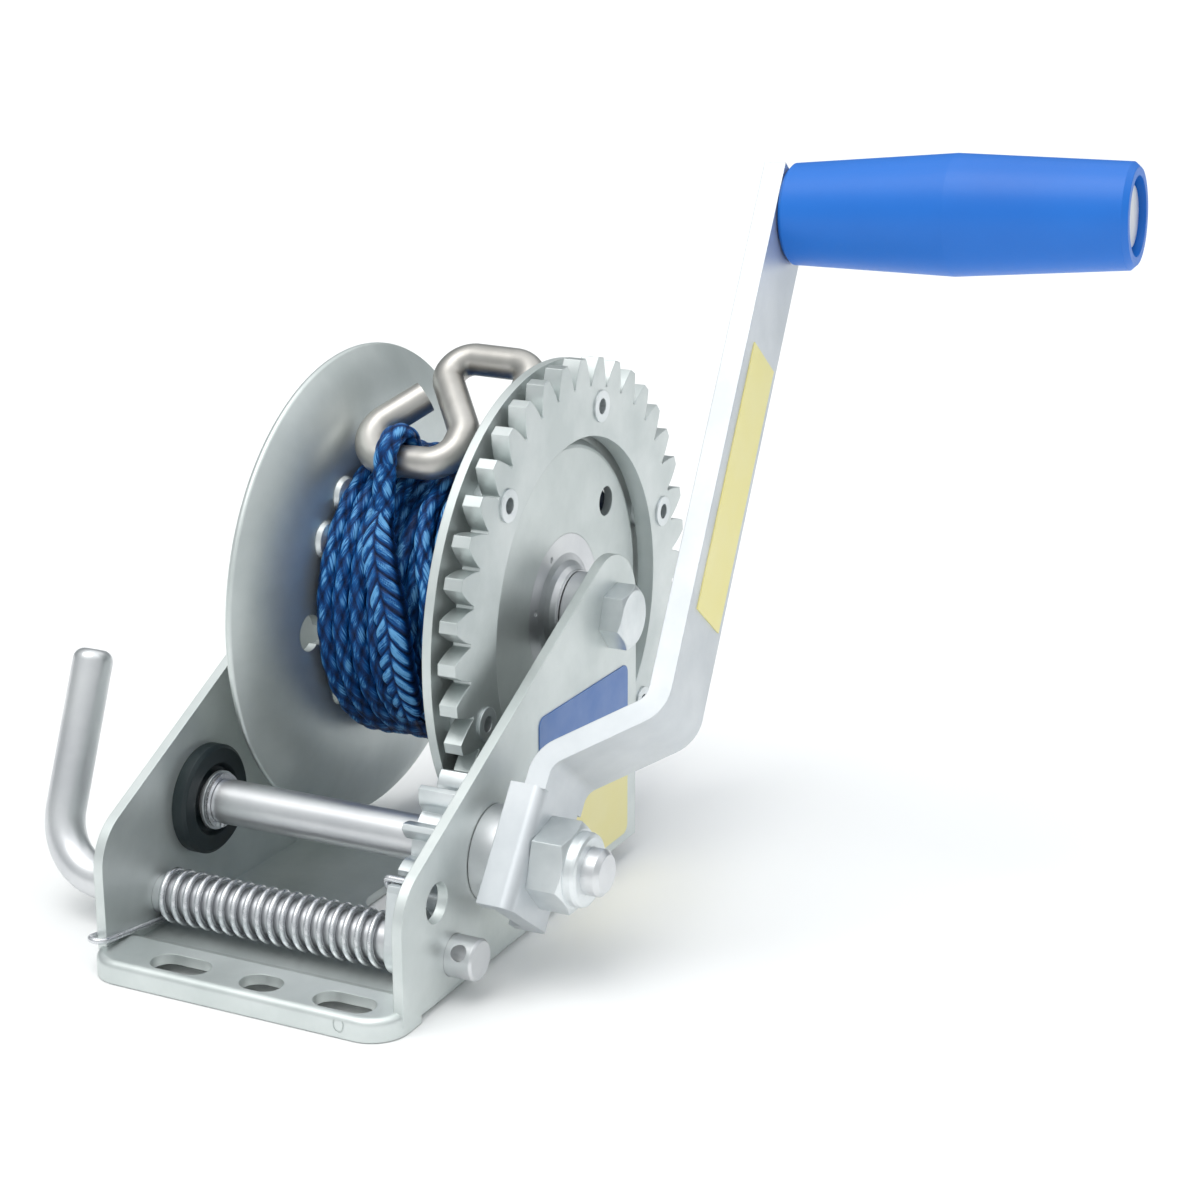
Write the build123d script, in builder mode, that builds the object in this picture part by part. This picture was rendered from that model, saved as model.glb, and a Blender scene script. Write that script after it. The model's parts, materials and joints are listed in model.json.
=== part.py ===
from build123d import *
import os
from math import acos, atan2, cos, degrees, hypot, pi, radians, sin, sqrt, tan

# Hand-cranked boat trailer winch, in millimetres.
# X runs along the drum axle towards the crank, Y from the front lip to the back, Z up.
# The origin is on the floor's underside, midway between the side plates and below the pawl shaft.

# ---------------------------------------------------------------- driving sizes
SHEET = 2.3                    # frame sheet thickness
FRAME_HALF = 37.5              # middle plane to a side plate's outer face
FRAME_FRONT = -20.5            # front edge of the side plates
FRAME_BACK = 87.3              # back edge of the side plates
FRAME_SLOPE = 27.4             # slope of the plates' top edge, degrees
SLOPE_OFFSET = 14.3            # axle centre to that sloping edge
FLOOR_BACK = 67.5              # where the floor ends under the drum
REAR_EDGE_Z = 4.6              # lower edge of the plates behind the floor
BEND_RADIUS = 2.8              # outer radius of the folds along the floor

LIP_FRONT = -26.5              # front face of the raised mounting lip
LIP_BACK = -13.5               # where the raised lip starts to drop to the floor
LIP_DROP_END = -8.0           # where it reaches the floor
LIP_TOP = 4.9
LIP_CORNER = 8.0
SLOT_WIDTH = 7.2
SLOT_Y = -20.8
SLOT_MIDDLE_X = 4.0
SLOT_SPACING = 20.0
OUTER_SLOT = 14.0
MIDDLE_SLOT = 9.6
REAR_SLOT_WIDTH = 13.0
REAR_SLOT_LENGTH = 36.0
REAR_SLOT_Y = 43.5
SPARE_HOLE_Y = -6.5
SPARE_HOLE_Z = 23.4
SPARE_HOLE_R = 4.3

AXLE_Y = 75.0
AXLE_Z = 62.0
AXLE_R = 4.0                   # M8 axle bolt
TUBE_R = 6.0                   # tube that the axle bolt clamps between the plates
SPACER_R = 9.0
AXLE_HEX = 13.0                # across flats of the M8 head and nut

GEAR_TEETH = 40
PINION_TEETH = 10
MODULE = 2.75
PRESSURE_ANGLE = 25.0
GEAR_TIP_R = 57.75
GEAR_ROOT_R = 51.3
PINION_TIP_R = 15.6
PINION_ROOT_R = 10.2
GEAR_TOOTH = 5.2               # tooth thickness on the pitch circle
PINION_TOOTH = 3.2             # the rest of the pitch is backlash
GEAR_PHASE = 7.0               # angle of one gear tooth's middle, from +Y towards +Z
GEAR_X = 24.9                  # back face of the gear
GEAR_THICK = 4.25
GEAR_BORE_R = 40.0

SHAFT_Y = 16.5
SHAFT_Z = 25.9
SHAFT_R = 5.0
BUSH_SPIGOT_R = 7.5            # plain bushes in the side plates
BUSH_FLANGE_R = 12.3

FLANGE_R = 57.1
FLANGE_SHEET = 2.1
LEFT_FLANGE_X = -22.0          # face towards the rope
RIGHT_FLANGE_X = 20.75         # face towards the rope
FLARE_START_R = 39.0           # the left flange curves outward from here
FLARE_X = -28.1                # its rim
PLATEAU_R = 38.0               # pressed-out centre of the right flange
BARREL_R = 18.0
BARREL_WALL = 2.5
HUB_R = 17.4
RIVET_CIRCLE_R = 46.8
RIVET_COUNT = 6
RIVET_PHASE = 16.5
RIVET_R = 2.6
RIVET_HEAD_R = 4.2
RIVET_COLLAR_R = 4.6
RIVET_RIM_R = 3.7
RIVET_RIM = 0.45               # how far the spread rim stands proud of the gear
RIVET_BORE_R = 1.8
RIVET_BORE_DEPTH = 4.0

PAWL_Y = 0.0
PAWL_Z = 9.3
PAWL_SHAFT_R = 4.5
LEVER_ANGLE = 68.0             # lever handle, from +Y towards +Z
LEVER_BEND = 14.0
LEVER_X = -65.0
LEVER_LENGTH = 50.0
PAWL_STAND_OFF = 8.0           # turn from rest, where the pawl is just clear, to engaged
NOSE_GAP = 0.25                # nose to the pinion's tips at rest
SPRING_WIRE = 1.4
SPRING_R = 5.4                 # coil centreline
SPRING_TURNS = 18              # whole turns; the legs add part of one
LEG_START = 2.6                # straight start of each leg
LEG_RISE = 8.0                 # slope of the spring's front leg, degrees
PAWL_STEP = (-1.15, 14.4)      # step that the spring's rear leg presses on, from the pawl's axis

CRANK_ANGLE = 53.4             # crank direction, from +Y towards +Z
CRANK_WIDTH = 20.0
CRANK_THICK = 5.0
CRANK_LEAN = 3.1               # the upper arm leans this far back towards the drum
CRANK_RADIUS = 154.9           # shaft centre to grip centre
GRIP_LENGTH = 77.0
GRIP_END_R = 11.3
GRIP_MIDDLE_R = 13.3
GRIP_MIDDLE = 38.0

RUNNING = 0.06                 # radial clearance of a running fit
FREE = 0.15                    # clearance of parts that only pass each other

PAWL_SHAFT_END = 43.8
CROSS_HOLE_X = 40.6
CROSS_HOLE_R = 1.75
CROSS_HOLE_DIR = (0, -0.82, 0.57)
PAWL_FROM = 24.4
PAWL_TO = 30.4
PAWL_HUB_R = 6.4
SPRING_FROM = -34.2
SPRING_TO = 22.4

LABEL_THICK = 0.25
LABEL_FRONT = 38.3              # side label, along Y
LABEL_BACK = 82.5
LABEL_LOW = 6.8
LABEL_HIGH = 48.4
CRANK_LABEL_LENGTH = 62.4
CRANK_LABEL_WIDTH = 14.2
CRANK_LABEL_SIDE = -1.0        # off the arm's middle line
CRANK_LABEL_MIDDLE = 88.4      # from the shaft's centre

# ---------------------------------------------------------------- derived planes
lever_up = (0, cos(radians(LEVER_ANGLE)), sin(radians(LEVER_ANGLE)))
lever_side = (0, -lever_up[2], lever_up[1])
PLATE_INNER = FRAME_HALF - SHEET
AXLE_PLANE = Plane(origin=(0, AXLE_Y, AXLE_Z), x_dir=(0, 1, 0), z_dir=(1, 0, 0))
SHAFT_PLANE = Plane(origin=(0, SHAFT_Y, SHAFT_Z), x_dir=(0, 1, 0), z_dir=(1, 0, 0))
PAWL_PLANE = Plane(origin=(0, PAWL_Y, PAWL_Z), x_dir=(0, 1, 0), z_dir=(1, 0, 0))
crank_out = (0, cos(radians(CRANK_ANGLE)), sin(radians(CRANK_ANGLE)))
crank_side = (0, -crank_out[2], crank_out[1])
# Crank profile plane: local x is the winch's X, local y runs out along the crank.
CRANK_PLANE = Plane(origin=(0, SHAFT_Y, SHAFT_Z), x_dir=(1, 0, 0), z_dir=crank_side)

os.makedirs("parts", exist_ok=True)


def polar(radius, angle):
    """Local point at an angle in degrees."""
    return (radius * cos(radians(angle)), radius * sin(radians(angle)))


def save(builder, name):
    builder.part.label = name
    export_step(builder.part, f"parts/{name}.step")


def ring(plane, x_from, x_to, outer_r, inner_r=0.0, mode=Mode.ADD):
    """Plain disc, ring or (with SUBTRACT) bore between two X stations of a plane."""
    with BuildSketch(plane.offset(x_from)) as face:
        Circle(outer_r)
        if inner_r:
            Circle(inner_r, mode=Mode.SUBTRACT)
    extrude(face.sketch, amount=x_to - x_from, mode=mode)


def turned(plane, outline, mode=Mode.ADD):
    """Solid of revolution about the plane's X axis; the outline is (x, radius) points."""
    side = Plane(origin=plane.origin, x_dir=(1, 0, 0), z_dir=(0, -1, 0))
    with BuildSketch(side) as section:
        with BuildLine():
            Polyline(*outline, close=True)
        make_face()
    revolve(section.sketch, axis=Axis(plane.origin, (1, 0, 0)), mode=mode)


def hexagon_nut(plane, x_from, hex_height, across_flats, bore_r, collar=0.0):
    """Chamfered hexagon, with a round collar on the outer side when one is given."""
    corner_r = across_flats / sqrt(3)
    direction = 1 if x_from > 0 else -1
    x_end = x_from + direction * hex_height
    with BuildSketch(plane.offset(x_from)) as hexagon:
        RegularPolygon(corner_r, 6, rotation=12)
    extrude(hexagon.sketch, amount=direction * hex_height)
    drop = corner_r - across_flats / 2 + 0.2
    x_chamfer = x_end - direction * drop * tan(radians(30))
    chamfered = [
        (x_from, 0),
        (x_from, corner_r),
        (x_chamfer, corner_r),
        (x_end, corner_r - drop),
        (x_end, 0),
    ]
    turned(plane, chamfered, mode=Mode.INTERSECT)
    x_far = x_end + direction * collar
    if collar:
        collar_r = across_flats / 2 - 0.6
        rounded = [
            (x_end, 0),
            (x_end, collar_r),
            (x_far - direction, collar_r),
            (x_far - direction * 0.3, collar_r - 0.3),
            (x_far, collar_r - 1),
            (x_far, 0),
        ]
        turned(plane, rounded)
    if bore_r:
        ring(plane, min(x_from, x_far), max(x_from, x_far), bore_r, mode=Mode.SUBTRACT)


def involute_half_angle(radius, pitch_r, tooth):
    """Half of a tooth's angular thickness at a radius, in radians."""
    base_r = pitch_r * cos(radians(PRESSURE_ANGLE))
    radius = max(radius, base_r)
    pressure = acos(base_r / radius)
    at_pitch = radians(PRESSURE_ANGLE)
    return tooth / (2 * pitch_r) + tan(at_pitch) - at_pitch - tan(pressure) + pressure


def gear_outline(teeth, tooth, tip_r, root_r, phase):
    """Closed gear wire: involute flanks as splines, tips and roots as arcs."""
    pitch_r = MODULE * teeth / 2
    base_r = pitch_r * cos(radians(PRESSURE_ANGLE))
    flank_start = max(base_r, root_r + 0.4)
    steps = 5
    radii = [flank_start + (tip_r - flank_start) * i / steps for i in range(steps + 1)]
    pitch_angle = 360 / teeth
    foot = degrees(involute_half_angle(flank_start, pitch_r, tooth))
    for k in range(teeth):
        middle = phase + k * pitch_angle
        half = [degrees(involute_half_angle(r, pitch_r, tooth)) for r in radii]
        rising = [polar(r, middle - h) for r, h in zip(radii, half)]
        falling = [polar(r, middle + h) for r, h in zip(radii, half)][::-1]
        Line(polar(root_r, middle - foot), rising[0])
        Spline(*rising)
        ThreePointArc(rising[-1], polar(tip_r, middle), falling[0])
        Spline(*falling)
        Line(falling[-1], polar(root_r, middle + foot))
        next_foot = middle + pitch_angle - foot
        gap_middle = middle + pitch_angle / 2
        ThreePointArc(
            polar(root_r, middle + foot), polar(root_r, gap_middle), polar(root_r, next_foot)
        )


# ---------------------------------------------------------------- frame
slope = radians(FRAME_SLOPE)


def slope_z(y):
    """Height of the plates' sloping top edge at a given Y."""
    return AXLE_Z + (SLOPE_OFFSET + sin(slope) * (y - AXLE_Y)) / cos(slope)


# Raised mounting lip with rounded front corners, joined to the frame below.
with BuildPart() as lip:
    with BuildSketch(Plane.XY) as lip_plan:
        with Locations((0, (LIP_FRONT + LIP_BACK) / 2)):
            Rectangle(2 * FRAME_HALF, LIP_BACK - LIP_FRONT)
        fillet(lip_plan.vertices().group_by(Axis.Y)[0], LIP_CORNER)
    extrude(amount=LIP_TOP)
    top_edges = lip.edges().group_by(Axis.Z)[-1].sort_by(Axis.Y)
    fillet(top_edges[:-1], 1.6)

with BuildPart() as frame:
    # Side plates' outline through the whole width.
    with BuildSketch(Plane.YZ.offset(-FRAME_HALF)) as outline:
        with BuildLine():
            Polyline(
                (FRAME_FRONT, 0),
                (FLOOR_BACK, 0),
                (FLOOR_BACK + 3, REAR_EDGE_Z),
                (FRAME_BACK, REAR_EDGE_Z),
                (FRAME_BACK, slope_z(FRAME_BACK)),
                (FRAME_FRONT, slope_z(FRAME_FRONT)),
                close=True,
            )
        make_face()
        fillet(outline.vertices().sort_by(Axis.Y)[-1], 13)
        fillet(outline.vertices().group_by(Axis.X)[0].sort_by(Axis.Y)[-1], 12)
    extrude(amount=2 * FRAME_HALF)
    low_folds = frame.edges().filter_by(Axis.X, reverse=True).group_by(Axis.Z)[0]
    fillet(low_folds, BEND_RADIUS)
    # Inside of the channel.
    with BuildSketch(Plane.XZ.offset(-FRAME_BACK - 1)):
        with Locations((0, SHEET + 50)):
            Rectangle(2 * PLATE_INNER, 100)
    extrude(amount=FRAME_BACK - FRAME_FRONT + 2, mode=Mode.SUBTRACT)
    # Behind the floor only the two plates go on.
    with BuildSketch(Plane.XY):
        with Locations((0, (FLOOR_BACK + FRAME_BACK) / 2 + 0.5)):
            Rectangle(2 * PLATE_INNER, FRAME_BACK - FLOOR_BACK + 1)
    extrude(amount=2 * SHEET, mode=Mode.SUBTRACT)
    add(lip.part)
    with BuildSketch(Plane.YZ.offset(-PLATE_INNER)):
        with BuildLine():
            Polyline(
                (LIP_BACK, SHEET), (LIP_BACK, LIP_TOP), (LIP_DROP_END, SHEET), close=True
            )
        make_face()
    extrude(amount=2 * PLATE_INNER)
    # Hollow under the lip.
    with BuildSketch(Plane.YZ.offset(-PLATE_INNER + 1)):
        with BuildLine():
            Polyline(
                (LIP_FRONT + SHEET, 0),
                (LIP_FRONT + SHEET, LIP_TOP - SHEET),
                (LIP_BACK + 1, LIP_TOP - SHEET),
                (LIP_DROP_END + 0.5, 0),
                close=True,
            )
        make_face()
    extrude(amount=2 * PLATE_INNER - 2, mode=Mode.SUBTRACT)
    # Mounting slots: three across the lip, one along the floor behind.
    with BuildSketch(Plane.XY):
        with Locations(
            (SLOT_MIDDLE_X - SLOT_SPACING, SLOT_Y), (SLOT_MIDDLE_X + SLOT_SPACING, SLOT_Y)
        ):
            SlotOverall(OUTER_SLOT, SLOT_WIDTH)
        with Locations((SLOT_MIDDLE_X, SLOT_Y)):
            SlotOverall(MIDDLE_SLOT, SLOT_WIDTH)
        with Locations((SLOT_MIDDLE_X, REAR_SLOT_Y)):
            SlotOverall(REAR_SLOT_LENGTH, REAR_SLOT_WIDTH, rotation=90)
    extrude(amount=LIP_TOP, mode=Mode.SUBTRACT)
    # Small round punch mark on the lip's front face.
    with BuildSketch(Plane(origin=(26, LIP_FRONT, 2.9), x_dir=(1, 0, 0), z_dir=(0, -1, 0))):
        Ellipse(1.3, 1.7)
        Ellipse(1.0, 1.4, mode=Mode.SUBTRACT)
    extrude(amount=-0.2, mode=Mode.SUBTRACT)
    # Axle, shaft and pawl holes through both plates.
    ring(AXLE_PLANE, -FRAME_HALF - 1, FRAME_HALF + 1, AXLE_R + FREE, mode=Mode.SUBTRACT)
    ring(SHAFT_PLANE, -FRAME_HALF - 1, FRAME_HALF + 1, BUSH_SPIGOT_R, mode=Mode.SUBTRACT)
    pawl_hole_r = PAWL_SHAFT_R + RUNNING
    ring(PAWL_PLANE, -FRAME_HALF - 1, -PLATE_INNER + 1, pawl_hole_r, mode=Mode.SUBTRACT)
    ring(PAWL_PLANE, PLATE_INNER - 1, FRAME_HALF + 1, pawl_hole_r, mode=Mode.SUBTRACT)
    # Spare hole in the right plate.
    with BuildSketch(Plane.YZ.offset(FRAME_HALF + 1)):
        with Locations((SPARE_HOLE_Y, SPARE_HOLE_Z)):
            Circle(SPARE_HOLE_R)
    extrude(amount=-SHEET - 2, mode=Mode.SUBTRACT)
save(frame, "frame")

# ---------------------------------------------------------------- drum axle
AXLE_HEAD = 5.3
AXLE_NUT_HEX = 6.5
AXLE_NUT_COLLAR = 1.6

with BuildPart() as axle_bolt:
    hexagon_nut(AXLE_PLANE, FRAME_HALF, AXLE_HEAD, AXLE_HEX, 0)
    ring(AXLE_PLANE, -FRAME_HALF - AXLE_NUT_HEX - AXLE_NUT_COLLAR - 1.5, FRAME_HALF, AXLE_R)
    chamfer(axle_bolt.edges().filter_by(GeomType.CIRCLE).sort_by(Axis.X)[0], 0.6)
save(axle_bolt, "axle_bolt")

with BuildPart() as axle_nut:
    hexagon_nut(AXLE_PLANE, -FRAME_HALF, AXLE_NUT_HEX, AXLE_HEX, AXLE_R, AXLE_NUT_COLLAR)
save(axle_nut, "axle_nut")

with BuildPart() as axle_tube:
    ring(AXLE_PLANE, -PLATE_INNER, PLATE_INNER, TUBE_R, AXLE_R + FREE)
save(axle_tube, "axle_tube")

HUB_NOSE_RIGHT = 28.2
HUB_NOSE_LEFT = -28.4

with BuildPart() as axle_spacers:
    ring(AXLE_PLANE, HUB_NOSE_RIGHT + 0.2, PLATE_INNER, SPACER_R, TUBE_R)
    ring(AXLE_PLANE, -PLATE_INNER, HUB_NOSE_LEFT - 0.2, SPACER_R, TUBE_R)
save(axle_spacers, "axle_spacers")

# ---------------------------------------------------------------- drum
left_back = LEFT_FLANGE_X - FLANGE_SHEET
plateau_step = 2.2
plateau_face = RIGHT_FLANGE_X + FLANGE_SHEET + plateau_step
barrel_right = RIGHT_FLANGE_X + plateau_step

ANCHOR_R = 31.0                # rope clamp bolts on the left flange
ANCHOR_ANGLES = (125.0, 147.0)
CLAMP_BOLT_R = 2.5
KEYHOLE_R = 34.0
KEYHOLE_ANGLE = 185.0
KEYHOLE_HEAD_R = 4.2
KEYHOLE_SLOT = (10.0, 4.4)
SECOND_HOLE_R = 30.0
SECOND_HOLE_ANGLE = 222.0
SECOND_HOLE = 3.2
WINDOW_R = 30.0                # round window in the right flange
WINDOW_ANGLE = 43.0
WINDOW_HOLE = 3.5


# The left flange's outer part is an arc in section, tangent to its flat middle.
flare_lean = 2 * degrees(atan2(LEFT_FLANGE_X - FLARE_X, FLANGE_R - FLARE_START_R))
flare_r = (FLANGE_R - FLARE_START_R) / sin(radians(flare_lean))
flare_centre = (LEFT_FLANGE_X - flare_r, FLARE_START_R)

with BuildPart() as drum_left_flange:
    # Flat middle with the clamp's bolt holes, a keyhole for the rope and a second hole.
    with BuildSketch(AXLE_PLANE.offset(left_back)):
        Circle(FLARE_START_R)
        Circle(HUB_R, mode=Mode.SUBTRACT)
        with Locations(*[polar(ANCHOR_R, angle) for angle in ANCHOR_ANGLES]):
            Circle(CLAMP_BOLT_R, mode=Mode.SUBTRACT)
        with Locations(polar(KEYHOLE_R, KEYHOLE_ANGLE)):
            Circle(KEYHOLE_HEAD_R, mode=Mode.SUBTRACT)
        with Locations(polar(KEYHOLE_R - 6.5, KEYHOLE_ANGLE + 4)):
            SlotOverall(*KEYHOLE_SLOT, rotation=KEYHOLE_ANGLE, mode=Mode.SUBTRACT)
        with Locations(polar(SECOND_HOLE_R, SECOND_HOLE_ANGLE)):
            Circle(SECOND_HOLE, mode=Mode.SUBTRACT)
    extrude(amount=FLANGE_SHEET)
    # Flared rim.
    flange_side = Plane(origin=AXLE_PLANE.origin, x_dir=(1, 0, 0), z_dir=(0, -1, 0))
    with BuildSketch(flange_side) as flare_section:
        with BuildLine():
            Line((left_back, FLARE_START_R), (LEFT_FLANGE_X, FLARE_START_R))
            front = CenterArc(flare_centre, flare_r, 0, flare_lean)
            back = CenterArc(flare_centre, flare_r - FLANGE_SHEET, 0, flare_lean)
            Line(front @ 1, back @ 1)
        make_face()
    revolve(flare_section.sketch, axis=Axis(AXLE_PLANE.origin, (1, 0, 0)))
    rim_edges = drum_left_flange.edges().filter_by(GeomType.CIRCLE).sort_by(SortBy.RADIUS)
    fillet(rim_edges[-2:], 0.9)
save(drum_left_flange, "drum_left_flange")

with BuildPart() as drum_right_flange:
    turned(
        AXLE_PLANE,
        [
            (RIGHT_FLANGE_X, FLANGE_R),
            (RIGHT_FLANGE_X + FLANGE_SHEET, FLANGE_R),
            (RIGHT_FLANGE_X + FLANGE_SHEET, PLATEAU_R + 1.2),
            (plateau_face - 0.8, PLATEAU_R + 0.1),
            (plateau_face - 0.2, PLATEAU_R - 0.4),
            (plateau_face, PLATEAU_R - 1.1),
            (plateau_face, HUB_R),
            (barrel_right, HUB_R),
            (barrel_right, PLATEAU_R - 2.6),
            (RIGHT_FLANGE_X, PLATEAU_R - 1.0),
        ],
    )
    with BuildSketch(AXLE_PLANE.offset(RIGHT_FLANGE_X - 1)):
        with Locations(polar(WINDOW_R, WINDOW_ANGLE)):
            Circle(WINDOW_HOLE)
        with PolarLocations(RIVET_CIRCLE_R, RIVET_COUNT, start_angle=RIVET_PHASE):
            Circle(RIVET_R)
    extrude(amount=FLANGE_SHEET + plateau_step + 3, mode=Mode.SUBTRACT)
save(drum_right_flange, "drum_right_flange")

with BuildPart() as drum_barrel:
    ring(AXLE_PLANE, LEFT_FLANGE_X, barrel_right, BARREL_R, BARREL_R - BARREL_WALL)
save(drum_barrel, "drum_barrel")

BUSH_R = 8.0
PLUG_DEPTH = 6.0
SPIGOT_R = BARREL_R - BARREL_WALL

HUB_NOSE_R = 9.3


def hub(face, disc_back, nose, outward):
    """Hub plug: spigot in the barrel, disc in the flange, flared nose outside."""
    turned(
        AXLE_PLANE,
        [
            (disc_back - outward * PLUG_DEPTH, BUSH_R),
            (disc_back - outward * PLUG_DEPTH, SPIGOT_R),
            (disc_back, SPIGOT_R),
            (disc_back, HUB_R),
            (face, HUB_R),
            (face, HUB_NOSE_R + 3.6),
            (face + outward * 0.5, HUB_NOSE_R + 2.0),
            (face + outward * 1.3, HUB_NOSE_R + 0.8),
            (face + outward * 2.4, HUB_NOSE_R),
            (nose, HUB_NOSE_R),
            (nose, BUSH_R),
        ],
    )


with BuildPart() as drum_hubs:
    hub(plateau_face, barrel_right, HUB_NOSE_RIGHT, 1)
    hub(left_back, LEFT_FLANGE_X, HUB_NOSE_LEFT, -1)
    # Two staking dimples on the right hub's face.
    with BuildSketch(AXLE_PLANE.offset(plateau_face)):
        with PolarLocations(14.2, 2, start_angle=115, angular_range=110):
            Circle(0.7)
    extrude(amount=-0.5, mode=Mode.SUBTRACT)
save(drum_hubs, "drum_hubs")

with BuildPart() as hub_bushes:
    bush_length = HUB_NOSE_RIGHT - barrel_right + PLUG_DEPTH
    ring(AXLE_PLANE, HUB_NOSE_RIGHT - bush_length, HUB_NOSE_RIGHT, BUSH_R, TUBE_R + RUNNING)
    ring(AXLE_PLANE, HUB_NOSE_LEFT, HUB_NOSE_LEFT + bush_length, BUSH_R, TUBE_R + RUNNING)
save(hub_bushes, "hub_bushes")

with BuildPart() as drum_gear:
    with BuildSketch(AXLE_PLANE.offset(GEAR_X)) as gear_face:
        with BuildLine():
            gear_outline(GEAR_TEETH, GEAR_TOOTH, GEAR_TIP_R, GEAR_ROOT_R, GEAR_PHASE)
        make_face()
        Circle(GEAR_BORE_R, mode=Mode.SUBTRACT)
        with PolarLocations(RIVET_CIRCLE_R, RIVET_COUNT, start_angle=RIVET_PHASE):
            Circle(RIVET_R, mode=Mode.SUBTRACT)
    extrude(amount=GEAR_THICK)
save(drum_gear, "drum_gear")

with BuildPart() as gear_rivets:
    # Hollow rivets: head inside the drum, collar between flange and gear, flush outer rim.
    gap_from = RIGHT_FLANGE_X + FLANGE_SHEET
    gear_face_x = GEAR_X + GEAR_THICK
    for x_from, x_to, radius in (
        (RIGHT_FLANGE_X - 0.9, RIGHT_FLANGE_X, RIVET_HEAD_R),
        (RIGHT_FLANGE_X, gap_from, RIVET_R),
        (gap_from, GEAR_X, RIVET_COLLAR_R),
        (GEAR_X, gear_face_x, RIVET_R),
        (gear_face_x, gear_face_x + RIVET_RIM, RIVET_RIM_R),
    ):
        with BuildSketch(AXLE_PLANE.offset(x_from)):
            with PolarLocations(RIVET_CIRCLE_R, RIVET_COUNT, start_angle=RIVET_PHASE):
                Circle(radius)
        extrude(amount=x_to - x_from)
    with BuildSketch(AXLE_PLANE.offset(gear_face_x + RIVET_RIM)):
        with PolarLocations(RIVET_CIRCLE_R, RIVET_COUNT, start_angle=RIVET_PHASE):
            Circle(RIVET_BORE_R)
    extrude(amount=-RIVET_BORE_DEPTH, mode=Mode.SUBTRACT)
save(gear_rivets, "gear_rivets")

# ---------------------------------------------------------------- rope and its clamp
CLAMP_PLATE = 1.8
CLAMP_NUT = 2.4
clamp_angle = sum(ANCHOR_ANGLES) / 2

with BuildPart() as rope_clamp:
    with BuildSketch(AXLE_PLANE.offset(left_back)):
        with Locations(polar(ANCHOR_R * cos(radians(11)), clamp_angle)):
            RectangleRounded(8, 20, 2, rotation=clamp_angle)
        with Locations(*[polar(ANCHOR_R, angle) for angle in ANCHOR_ANGLES]):
            Circle(CLAMP_BOLT_R, mode=Mode.SUBTRACT)
    extrude(amount=-CLAMP_PLATE)
save(rope_clamp, "rope_clamp")

with BuildPart() as clamp_bolts:
    for angle in ANCHOR_ANGLES:
        y, z = polar(ANCHOR_R, angle)
        bolt_plane = Plane(
            origin=(0, AXLE_Y + y, AXLE_Z + z), x_dir=(0, 1, 0), z_dir=(1, 0, 0)
        )
        head_height = 2.2
        turned(
            bolt_plane,
            [
                (left_back - CLAMP_PLATE - CLAMP_NUT - 0.6, 0),
                (left_back - CLAMP_PLATE - CLAMP_NUT - 0.6, CLAMP_BOLT_R),
                (LEFT_FLANGE_X, CLAMP_BOLT_R),
                (LEFT_FLANGE_X, 4.6),
                (LEFT_FLANGE_X + 0.5 * head_height, 4.0),
                (LEFT_FLANGE_X + 0.87 * head_height, 2.4),
                (LEFT_FLANGE_X + head_height, 0),
            ],
        )
save(clamp_bolts, "clamp_bolts")

with BuildPart() as clamp_nuts:
    for angle in ANCHOR_ANGLES:
        y, z = polar(ANCHOR_R, angle)
        nut_plane = AXLE_PLANE.offset(left_back - CLAMP_PLATE)
        with BuildSketch(nut_plane):
            with Locations((y, z)):
                RegularPolygon(8 / sqrt(3), 6)
                Circle(CLAMP_BOLT_R, mode=Mode.SUBTRACT)
        extrude(amount=-CLAMP_NUT)
save(clamp_nuts, "clamp_nuts")

ROPE_R = 2.2
PACK_R = 34.6
pack_left = LEFT_FLANGE_X + 2.5
pack_right = RIGHT_FLANGE_X - 1.2

with BuildPart() as rope_pack:
    turned(
        AXLE_PLANE,
        [
            (pack_left, BARREL_R),
            (pack_left, PACK_R - 4),
            (pack_left + 2, PACK_R - 0.8),
            (-6, PACK_R),
            (10, PACK_R),
            (pack_right - 1.5, PACK_R - 1.5),
            (pack_right, PACK_R - 4),
            (pack_right, BARREL_R),
        ],
    )
save(rope_pack, "rope_pack")

# The hook's lower loop rests on the rope; its stem leans back over the drum.
HOOK_R = 3.7
HOOK_ORIGIN = (0, 57.7, 97.6)
HOOK_PLANE = Plane(origin=HOOK_ORIGIN, x_dir=(1, 0, 0), z_dir=(0, -0.612, 0.791))

with BuildPart() as s_hook:
    with BuildLine(HOOK_PLANE) as hook_path:
        # Open end and left of the lower loop, its right side, the waist, the upper loop.
        FilletPolyline((-8.8, 18.3), (-18.4, 6.6), (-13.8, -1.0), (-4.0, -0.8), radius=6.5)
        FilletPolyline((-4.0, -0.8), (5.7, -0.6), (5.4, 9.2), (-0.25, 16.9), radius=6.0)
        FilletPolyline((-0.25, 16.9), (-5.9, 24.6), (-4.2, 30.9), (5.6, 30.55), radius=4.9)
        FilletPolyline((5.6, 30.55), (15.4, 30.2), (15.2, 18.5), radius=6.0)
    hook_wire = hook_path.wires()[0]
    with BuildSketch(Plane(hook_wire @ 0, z_dir=hook_wire % 0)):
        Circle(HOOK_R)
    sweep(path=hook_wire)
save(s_hook, "s_hook")

EYE_X = -6.2
SPLICE_R = PACK_R + 2.6
SPLICE_FROM = 137.0            # angles of the splice round the drum, from +Y towards +Z
SPLICE_SWEEP = 80.0

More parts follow.
